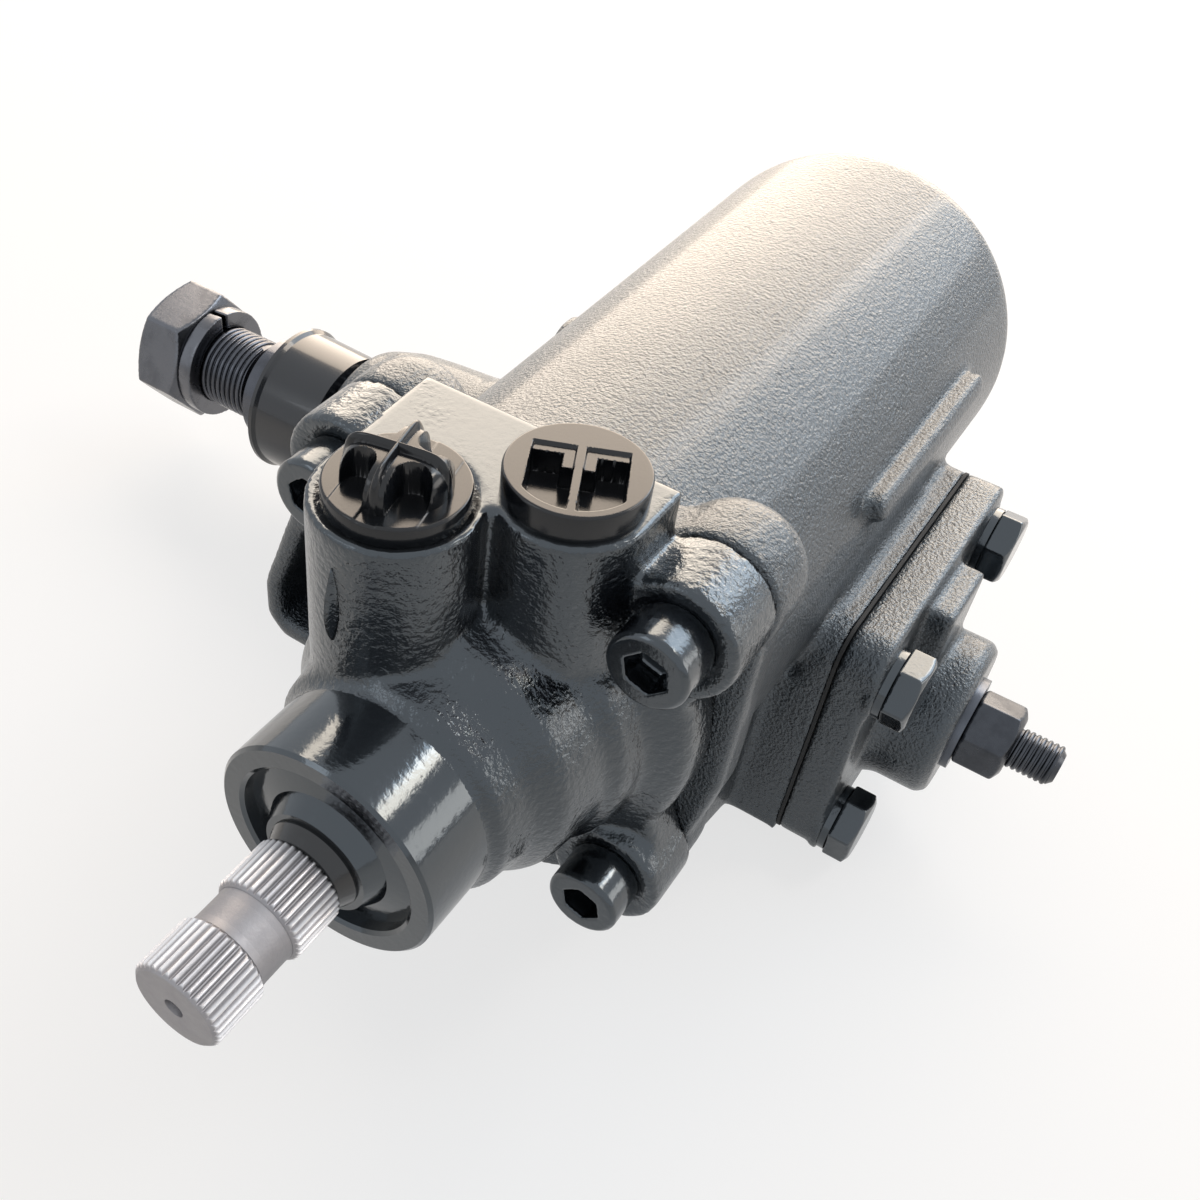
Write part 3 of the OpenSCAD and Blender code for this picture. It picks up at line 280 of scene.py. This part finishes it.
# Gear housing. One iron casting: the cylinder, the chamber of the sector with its bolting face, the
# output boss and the frame mounts, machined only at its bores and its three faces. Places are in mm. The
# worm's axis is the input shaft's, and the cover's joint is as thick as its gasket.
shaft_low, shaft_high = box_mm("input_shaft")
worm_x, worm_z = ((shaft_low[i] + shaft_high[i]) / 2 for i in (0, 2))
joint_y = box_mm("gear_housing")[0][1]
cover_joint_x, cover_in_x = (corner[0] for corner in box_mm("cover_gasket"))
cylinder_bore_r, output_bore_r, cover_bore_r = 40.5, 23.2, 28.5
chamber_x, mount_depth_x = 60, 30
pattern = next(mount["dims"] for mount in frame["record"]["mounts"] if mount["name"] == "frame_mount")
mount_y, mount_z = pattern["spacing_x_mm"] / 2, pattern["spacing_y_mm"] / 2
mount_pad_r = pattern["hole_r_mm"] + 1
mount_places = [(y, z) for y in (-mount_y, mount_y) for z in (-mount_z, mount_z)]
barrel_paint = casting_paint("barrel_paint", grain=0.75, wrinkle=0.1, gloss=0.3)


def gear_free(p):
    x, y, z = p.T
    worm, sector = np.hypot(x - worm_x, z - worm_z), np.hypot(y, z)
    free = near(np.abs(y - joint_y), 1.5) * near(np.abs(x - cover_joint_x), 1.2)
    free = np.minimum(free, near(worm - cylinder_bore_r, 2))
    free = np.minimum(free, near(sector - np.where(x < chamber_x, output_bore_r, cover_bore_r), 1.5))
    for hole_y, hole_z in mount_places:
        off = near(np.hypot(y - hole_y, z - hole_z) - mount_pad_r, 2)
        free = np.minimum(free, np.where(x < mount_depth_x, off, 1))
    return np.maximum(free, 0.08)


cast_piece("gear_casting", "gear_housing", voxel=0.00105, rounds=26, keep=gear_free, material=barrel_paint)


# Valve housing. A smaller casting on the front of the cylinder, with the two port bosses on top, the
# four ears of the long screws, and the neck that the input shaft comes out of. Its paint has run more.
valve_low, valve_high = box_mm("valve_housing")
port_z, screw_seat_y, neck_back_y = valve_high[2], -102.5, -136
left_port, right_port, port_boss_r = (66, -119), (90, -99.5), 16
valve_bore_r = 27
valve_paint = casting_paint("valve_paint", grain=0.16, wrinkle=0.4, gloss=0.14, machined_above=port_z - 0.1)


def valve_free(p):
    x, y, z = p.T
    worm = np.hypot(x - worm_x, z - worm_z)
    free = near(np.abs(y - joint_y), 1.5) * near(np.abs(z - port_z), 1.2)
    free = free * near(np.abs(y - screw_seat_y), 1.0)
    turned_ends = (y < neck_back_y) | (y > joint_y)
    free = np.minimum(free, np.where(turned_ends, 0, near(worm - valve_bore_r, 1.5)))
    return np.maximum(free, 0.08)


cast_piece("valve_casting", "valve_housing", voxel=0.0009, rounds=22, keep=valve_free, material=valve_paint)


# Nib on the left port boss. A leaf of flash that stands on its front flank, left by the mould's joint
# and painted over.
def port_nib():
    bearing, foot_z, height, steps = math.radians(-96), 79, 17, 16
    form, rows = bmesh.new(), []
    for i in range(steps + 1):
        t = i / steps
        swell = math.sin(math.pi * (0.03 + 0.94 * t)) ** 0.8
        half, crest, z = 0.14 * swell, 2.3 * swell * (1.15 - 0.5 * t), foot_z + height * t
        row = []
        for k, out in ((-1, -0.5), (-0.35, 0.35 * crest), (0, crest), (0.3, 0.3 * crest), (1, -0.5)):
            a, r = bearing + k * half, port_boss_r + out
            x, y = left_port[0] + r * math.cos(a), left_port[1] + r * math.sin(a)
            row.append(form.verts.new((x / 1000, y / 1000, z / 1000)))
        rows.append(row)
    for low, high in zip(rows, rows[1:]):
        for k in range(5):
            form.faces.new((low[k], low[(k + 1) % 5], high[(k + 1) % 5], high[k]))
    form.faces.new(rows[0])
    form.faces.new(rows[-1])
    bmesh.ops.recalc_face_normals(form, faces=form.faces[:])
    mesh = bpy.data.meshes.new("port_nib")
    form.to_mesh(mesh)
    form.free()
    mesh.shade_smooth()
    piece = bpy.data.objects.new("port_nib", mesh)
    bpy.context.scene.collection.objects.link(piece)
    paint(piece, valve_paint)
    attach(piece, "housing")


port_nib()


# Side cover. A cast plate with a rough round boss for the adjusting screw, pads under the bolt heads
# and a flat machined back.
bush_r, washer_r = 20, 9.7
bolt_places = [(y, z) for y in (-29, 35) for z in (-22.5, 28.5)]


def cover_free(p):
    x, y, z = p.T
    free = near(x - cover_in_x, 1.2) * near(np.hypot(y, z) - bush_r, 1.0)
    for bolt_y, bolt_z in bolt_places:
        free = np.minimum(free, near(np.hypot(y - bolt_y, z - bolt_z) - washer_r, 2))
    return np.maximum(free, 0.1)


cover_paint = casting_paint("cover_paint", grain=0.55, wrinkle=0.16, gloss=0.24)
cast_piece("cover_casting", "side_cover", voxel=0.0008, rounds=18, keep=cover_free, material=cover_paint)


# Input neck. The end of the valve housing is turned to a clean ring under the same paint, with a
# recess for the dust seal and the groove of its snap ring.
def turned(name, profile, steps=96):
    """A closed ring about the worm's axis, from its outline of radius and Y in mm."""
    form = bmesh.new()
    rows = []
    for i in range(steps):
        a = 2 * math.pi * i / steps
        row = []
        for r, y in profile:
            place = Vector((worm_x + r * math.cos(a), y, worm_z + r * math.sin(a)))
            row.append(form.verts.new(place / 1000))
        rows.append(row)
    for i in range(steps):
        a, b = rows[i], rows[(i + 1) % steps]
        for k in range(len(profile)):
            n = (k + 1) % len(profile)
            form.faces.new((a[k], a[n], b[n], b[k]))
    bmesh.ops.recalc_face_normals(form, faces=form.faces[:])
    mesh = bpy.data.meshes.new(name)
    form.to_mesh(mesh)
    form.free()
    mesh.shade_smooth()
    mesh.set_sharp_from_angle(angle=math.radians(28))
    piece = bpy.data.objects.new(name, mesh)
    bpy.context.scene.collection.objects.link(piece)
    return piece


smooth_paint = casting_paint("smooth_paint", grain=0.012, wrinkle=0.05, gloss=0.06)
neck_r, recess_r, ring_groove_r = 24.58, 19.45, 20.8
front_y = valve_low[1] - 0.04
groove_front_y, groove_back_y, recess_back_y = -149.55, -147.85, -137.7
neck_ring = turned("neck_ring", [
    (neck_r, front_y + 0.74), (neck_r - 0.68, front_y), (recess_r + 0.75, front_y),
    (recess_r, front_y + 0.64), (recess_r, groove_front_y), (ring_groove_r, groove_front_y),
    (ring_groove_r, groove_back_y), (recess_r, groove_back_y), (recess_r, recess_back_y),
    (recess_r + 3.05, recess_back_y), (neck_r - 0.98, neck_back_y - 0.2), (neck_r, neck_back_y - 0.8)])
paint(neck_ring, smooth_paint)
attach(neck_ring, "housing")
finish(smooth_paint, "input_dust_seal", "input_snap_ring")


# Steel of the moving pieces. Turned and rolled steel: fine marks run round each piece, a little
# brighter and smoother where it was ground.
def steel(name, colour, shine, marks=(900, 900, 900), tarnish=0.25, coat=0.0):
    made, tree, shader, place = start(name)
    stretched = node(tree, "ShaderNodeMapping", None, {"Vector": place, "Scale": marks})
    grain = noise(tree, stretched, 1.0, 3, 0.6)
    stain = noise(tree, place, 110, 4, 0.6).step(0.4, 0.75)
    dark = tuple(c * (1 - tarnish) for c in colour)
    feed(tree, shader, Base_Color=mix(tree, stain, colour, dark), Metallic=1.0, Coat_Weight=coat,
         Roughness=shine + stain * 0.12 + grain * 0.1, Normal=bump(tree, grain, 0.08, 0.25))
    return made


ground_steel = steel("ground_steel", (0.56, 0.57, 0.6), 0.22)
finish(ground_steel, "worm", "valve_sleeve", "sleeve_pin", "torsion_bar", "torsion_bar_pin", "rack_piston",
       "piston_end_plug", "ball_nut", "return_guide", "guide_clamp", "adjuster_shim", "sector_snap_ring")
ball_steel = steel("ball_steel", (0.72, 0.73, 0.76), 0.08, tarnish=0.05)
finish(ball_steel, "ball_train", "worm_thrust_balls", "worm_thrust_race", "worm_inner_race", "input_bearing",
       "sector_bearing_output")


# Input shaft. Zinc plated steel with two bands of serrations, darker in the grooves by painted shade and a
# little rougher there, and painted black with the neck from behind the second band on.
def zinc_shaft():
    """Groove and edge are radii about the worm's axis, the paint's two values places on Y, in metres."""
    made, tree, shader, place = start("zinc_shaft")
    groove_floor, groove_edge, paint_start, paint_full = 0.00895, 0.0094, -0.1612, -0.1605
    x, y, z = split(tree, place)
    across, height = x - worm_x / 1000, z - worm_z / 1000
    radius = (across * across + height * height) ** 0.5
    # Painted shade: the zinc's colour is darkened below the groove edge, standing in for the shade in the
    # grooves. The same mask makes the grooves rougher.
    groove_shade = 1 - radius.step(groove_floor, groove_edge)
    painted = (y + noise(tree, place, 500) * 0.0012).step(paint_start, paint_full)
    cloud = noise(tree, place, 300, 4, 0.65)
    # The darker colour mixed in here is the painted shade of the grooves, with a random cloud of tone over
    # it.
    metal = mix(tree, groove_shade * 0.75 + cloud * 0.15, (0.76, 0.75, 0.76), (0.24, 0.23, 0.24))
    crystals = bump(tree, noise(tree, place, 1800, 3, 0.6), 0.06, 0.6)
    feed(tree, shader, Base_Color=mix(tree, painted, metal, (0.006, 0.007, 0.009)), Metallic=1 - painted,
         Roughness=0.26 + cloud * 0.16 + groove_shade * 0.15 - painted * 0.25, Normal=crystals,
         Coat_Weight=painted * 0.4, Coat_Roughness=0.1)
    return made


finish(zinc_shaft(), "input_shaft")

# Sector shaft, nut and spring washer. Dark oxide steel with a film of oil. The nut and the washer are
# forged, so their corners are a little round.
oiled_steel = steel("oiled_steel", (0.085, 0.09, 0.105), 0.2, (500, 900, 900), tarnish=0.35, coat=0.3)
finish(oiled_steel, "sector_shaft")
forged_steel = steel("forged_steel", (0.15, 0.155, 0.17), 0.18, tarnish=0.3)


def rounded_piece(name, source, body, material, voxel, rounds, limit=60000):
    piece = paint(rounded(name, source, voxel, rounds, None, limit), material)
    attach(piece, body)
    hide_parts(source)


rounded_piece("shaft_nut", "sector_nut", "sector", forged_steel, voxel=0.00045, rounds=6)
rounded_piece("split_washer", "sector_spring_washer", "sector", forged_steel,
              voxel=0.0004, rounds=10)

# Cover hardware. Painted bolts and washers, and the oxide black adjusting screw, its lock nut and the
# seal disc under it.
dark_nut = steel("dark_nut", (0.07, 0.075, 0.085), 0.2, tarnish=0.3)
finish(dark_nut, "adjusting_screw")
rounded_piece("jam_nut", "lock_nut", "housing", dark_nut, voxel=0.0004, rounds=5)
finish(steel("seal_disc", (0.12, 0.13, 0.15), 0.25, tarnish=0.2), "lock_nut_seal")
bolt_paint = casting_paint("bolt_paint", grain=0.02, wrinkle=0.08, gloss=0.1)
finish(bolt_paint, "cover_washers", "worm_bearing_nut")
rounded_piece("cover_bolt_set", "cover_bolts", "housing", bolt_paint,
              voxel=0.0004, rounds=4, limit=120000)
rounded_piece("housing_screw_set", "housing_screws", "housing", bolt_paint,
              voxel=0.0004, rounds=4, limit=120000)


# Moulded plastic and rubber. The transport plugs and the sleeve are black polyethylene with a dull
# sheen, the seals plain rubber.
def moulded(name, colour, shine, coat=0.0):
    made, tree, shader, place = start(name)
    cloud = noise(tree, place, 60, 3)
    fine = noise(tree, place, 1400)
    pale = tuple(c * 1.5 for c in colour)
    feed(tree, shader, Base_Color=mix(tree, cloud, colour, pale), Roughness=shine + cloud * 0.15,
         Normal=bump(tree, fine * 0.4 + cloud, 0.1, 0.2), Coat_Weight=coat)
    return made


plug_plastic = moulded("plug_plastic", (0.006, 0.007, 0.009), 0.1)


def smooth(low, high, value):
    t = np.clip((value - low) / (high - low), 0, 1)
    return t * t * (3 - 2 * t)


def moulded_cap(name, source_node, middle, turn, radius, low, top, relief):
    """A round moulded cap in mm. relief gives how far each point of its top stands over the plain disc."""
    around, rings, lip = 288, 76, 0.5
    angles = np.arange(around) * 2 * math.pi / around
    radii = np.linspace(0, radius, rings + 1)[1:]
    points, shapes = [(0, 0, top + float(relief(np.zeros(1), np.zeros(1))[0]))], []
    for r in radii:
        u, v = r * np.cos(angles), r * np.sin(angles)
        edge = max(0.0, r - radius + lip)
        z = top + relief(u, v) - (lip - math.sqrt(max(0.0, lip * lip - edge * edge)))
        points += list(zip(u, v, z))
    points += [(radius * math.cos(a), radius * math.sin(a), low) for a in angles] + [(0, 0, low)]
    for k in range(around):
        n = (k + 1) % around
        shapes.append((0, 1 + k, 1 + n))
        for i in range(rings):
            a, b = 1 + i * around, 1 + (i + 1) * around
            shapes.append((a + k, b + k, b + n, a + n))
        last = 1 + rings * around
        shapes.append((last + k, len(points) - 1, last + n))
    mesh = bpy.data.meshes.new(name)
    mesh.from_pydata(points, [], shapes)
    turned_cap = Matrix.Translation((*middle, port_z)) @ Matrix.Rotation(math.radians(turn), 4, "Z")
    mesh.transform(Matrix.Scale(0.001, 4) @ turned_cap)
    mesh.shade_smooth()
    mesh.set_sharp_from_angle(angle=math.radians(50))
    piece = bpy.data.objects.new(name, mesh)
    bpy.context.scene.collection.objects.link(piece)
    paint(piece, plug_plastic)
    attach(piece, "housing")
    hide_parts(source_node)


def left_relief(u, v):
    """A round knob with four arched hollows, and two thin fins that cross over it."""
    knob_height, knob_r, fin_height, fin_r, fin_half = 6.6, 9.9, 8, 10.1, 0.85
    hollow_middle, hollow_half = 5.1, 3.1
    au, av, r = np.abs(u), np.abs(v), np.hypot(u, v)
    across = np.minimum(au, av)
    knob = knob_height * np.clip(1 - (r / knob_r) ** 5, 0, 1) ** 0.4
    arch = np.hypot(au - hollow_middle, np.maximum(hollow_middle - av, 0)) - hollow_half
    hollow = smooth(0.2, -0.2, arch)
    fin = fin_height * np.clip(1 - (r / fin_r) ** 6, 0, 1) ** 0.35 - 2.2 * across ** 2
    return np.maximum(knob * (1 - hollow) + 0.2 * hollow, np.where(across < fin_half, fin, 0))


def right_relief(u, v):
    """Two deep recesses beside a rib, each with a shallow shelf along its back and along the rib."""
    recess_middle, recess_half, back_v, rim_r, depth = 4.75, 3.85, 6.2, 11, 5.0
    shelf_depth, shelf_v, leg_u, leg_v = 0.6, 4.2, 3.1, 0.4
    au = np.abs(u)
    sides = np.maximum(np.abs(au - recess_middle) - recess_half, v - back_v)
    recess = smooth(0.15, -0.15, np.maximum(sides, np.hypot(u, v) - rim_r))
    shelf = smooth(0.15, -0.15, np.minimum(shelf_v - v, np.maximum(au - leg_u, leg_v - v)))
    return recess * ((depth - shelf_depth) * shelf - depth)


moulded_cap("left_plug", "port_plug_left", left_port,
            turn=12, radius=13.2, low=-1.2, top=3.0, relief=left_relief)
moulded_cap("right_plug", "port_plug_right", right_port,
            turn=25, radius=13.2, low=0.0, top=5.4, relief=right_relief)
finish(moulded("sleeve_plastic", (0.012, 0.014, 0.018), 0.14, coat=0.4), "serration_sleeve")
seal_rubber = moulded("seal_rubber", (0.008, 0.008, 0.009), 0.45)
finish(seal_rubber, "input_seal", "sector_seal", "sector_dust_seal", "housing_seal_ring", "piston_ring",
       "valve_seal_rings")
finish(moulded("gasket_paper", (0.03, 0.03, 0.03), 0.7), "cover_gasket")


# Brass hose seats and the bronze bush of the sector shaft.
def brass(name, colour):
    made, tree, shader, place = start(name)
    stain = noise(tree, place, 200, 3)
    dark = tuple(c * 0.7 for c in colour)
    feed(tree, shader, Base_Color=mix(tree, stain, colour, dark), Metallic=1.0, Roughness=0.2 + stain * 0.2)
    return made


finish(brass("seat_brass", (0.78, 0.58, 0.26)), "port_seats")
finish(brass("bush_bronze", (0.62, 0.42, 0.24)), "sector_bearing_cover")


# Threads. The rolled threads of the sector shaft and of the adjusting screw stand on their plain rods
# as one round ridge that winds along X.
def thread_tree():
    tree = bpy.data.node_groups.new("rolled_thread", "GeometryNodeTree")
    tree.interface.new_socket("Geometry", in_out="OUTPUT", socket_type="NodeSocketGeometry")
    for name in ("Radius", "Pitch", "Turns", "Ridge", "Start"):
        tree.interface.new_socket(name, in_out="INPUT", socket_type="NodeSocketFloat")
    tree.interface.new_socket("Material", in_out="INPUT", socket_type="NodeSocketMaterial")
    given = tree.nodes.new("NodeGroupInput")
    radius, pitch, turns, ridge, begin, finish_of = (Sock(tree, given.outputs[i]) for i in range(6))
    spiral = node(tree, "GeometryNodeCurveSpiral", None,
                  {"Resolution": 40, "Rotations": turns, "Start Radius": radius, "End Radius": radius,
                   "Height": pitch * turns})
    level = node(tree, "GeometryNodeSetCurveNormal", {"mode": "Z_UP"}, {"Curve": spiral})
    profile = node(tree, "GeometryNodeCurvePrimitiveCircle", None, {"Resolution": 8, "Radius": ridge})
    wound = node(tree, "GeometryNodeCurveToMesh", None,
                 {"Curve": level, "Profile Curve": profile, "Fill Caps": True})
    along = node(tree, "ShaderNodeCombineXYZ", None, {"X": begin})
    laid = node(tree, "GeometryNodeTransform", None,
                {"Geometry": wound, "Translation": along, "Rotation": (0, math.pi / 2, 0)})
    real = node(tree, "GeometryNodeRealizeInstances", None, {"Geometry": laid})
    done = node(tree, "GeometryNodeSetMaterial", None, {"Geometry": real, "Material": finish_of})
    tree.links.new(done.out, tree.nodes.new("NodeGroupOutput").inputs[0])
    return tree


rolled_thread = thread_tree()


def thread(name, body, slot, material, **sizes):
    """A ridge wound by the tree, in metres, turned into a plain mesh."""
    piece = bpy.data.objects.new(name, bpy.data.meshes.new(name))
    bpy.context.scene.collection.objects.link(piece)
    winding = piece.modifiers.new("winding", "NODES")
    winding.node_group = rolled_thread
    for item in rolled_thread.interface.items_tree:
        if item.in_out == "INPUT":
            winding[item.identifier] = material if item.name == "Material" else sizes[item.name.lower()]
    piece.data = bpy.data.meshes.new_from_object(piece.evaluated_get(bpy.context.evaluated_depsgraph_get()))
    piece.modifiers.clear()
    piece.data.shade_smooth()
    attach(piece, body)


thread("sector_thread", "sector", "hard_steel", oiled_steel,
       radius=0.0119, pitch=0.002, turns=7.5, ridge=0.00085, start=-0.0895)
thread("adjusting_thread", "housing", "oxide_steel", dark_nut,
       radius=0.0049, pitch=0.0015, turns=7, ridge=0.00062, start=0.1729)


# Light and ground. A pale floor, white behind, a large warm softbox above and behind that the painted
# tops mirror, a cooler one beside it, and small ones that streak the turned flanks.
floor_mesh = bpy.data.meshes.new("floor")
low = cad_box[0][2] - 0.0005
half = 4
corners = [(x * half, y * half, low) for x, y in ((-1, -1), (1, -1), (1, 1), (-1, 1))]
floor_mesh.from_pydata(corners, [], [(0, 1, 2, 3)])
floor = bpy.data.objects.new("floor", floor_mesh)
bpy.context.scene.collection.objects.link(floor)
made, tree, shader, place = start("floor_white")
feed(tree, shader, Base_Color=(0.86, 0.86, 0.86, 1), Roughness=0.9, Specular_IOR_Level=0.0)


def view_rays(tree):
    """Three switches: what the camera sees directly, mirrored and through glass."""
    rays = tree.nodes.new("ShaderNodeLightPath")
    names = "Is Camera Ray", "Is Glossy Ray", "Is Transmission Ray"
    return [Sock(tree, rays.outputs[name]) for name in names]


direct, mirrored, through = view_rays(tree)
white_direct, white_mirrored = 0.72, 0.45
whiteness = direct * white_direct + (mirrored + through) * white_mirrored
white = node(tree, "ShaderNodeEmission", None, {"Color": (1, 1, 1, 1), "Strength": 1.0})
both = node(tree, "ShaderNodeMixShader", None, {0: whiteness, 1: Sock(tree, shader.outputs[0]), 2: white})
tree.links.new(both.out, tree.nodes["Material Output"].inputs["Surface"])
floor_mesh.materials.append(made)

world = bpy.data.worlds.new("studio")
bpy.context.scene.world = world
world.use_nodes = True
tree = world.node_tree
direct, mirrored, through = view_rays(tree)
seen, fill = (direct + mirrored + through).step(0.2, 0.8), 0.3
feed(tree, tree.nodes["Background"], Strength=seen * (1 - fill) + fill, Color=(0.93, 0.96, 1, 1))


def softbox(name, place, aim, size, bright, colour):
    """bright is what the box shows in a mirror, where white is 1."""
    data = bpy.data.lights.new(name, "AREA")
    data.shape, data.size, data.size_y, data.color = "RECTANGLE", size[0], size[1], colour
    data.energy = bright * math.pi * size[0] * size[1]
    lamp = bpy.data.objects.new(name, data)
    bpy.context.scene.collection.objects.link(lamp)
    turn = (Vector(place) - Vector(aim)).to_track_quat("Z", "Y").to_matrix().to_4x4()
    lamp.matrix_world = Matrix.Translation(place) @ turn


middle = (0.06, -0.03, 0.05)
softbox("key", (-0.45, 1.2, 0.62), middle, (1.7, 1.4), 5.6, (1.0, 0.82, 0.64))
softbox("sky", (0.55, 1.0, 0.80), middle, (0.75, 1.0), 3.6, (0.78, 0.89, 1.0))
softbox("streak", (0.68, 0.47, 0.89), middle, (0.3, 0.18), 9, (1.0, 0.88, 0.74))
softbox("side", (1.15, 0.55, 0.28), middle, (0.5, 0.4), 2.5, (1.0, 0.93, 0.85))
softbox("front", (-0.5, -1.0, 0.8), middle, (0.4, 0.4), 1.5, (0.9, 0.95, 1.0))
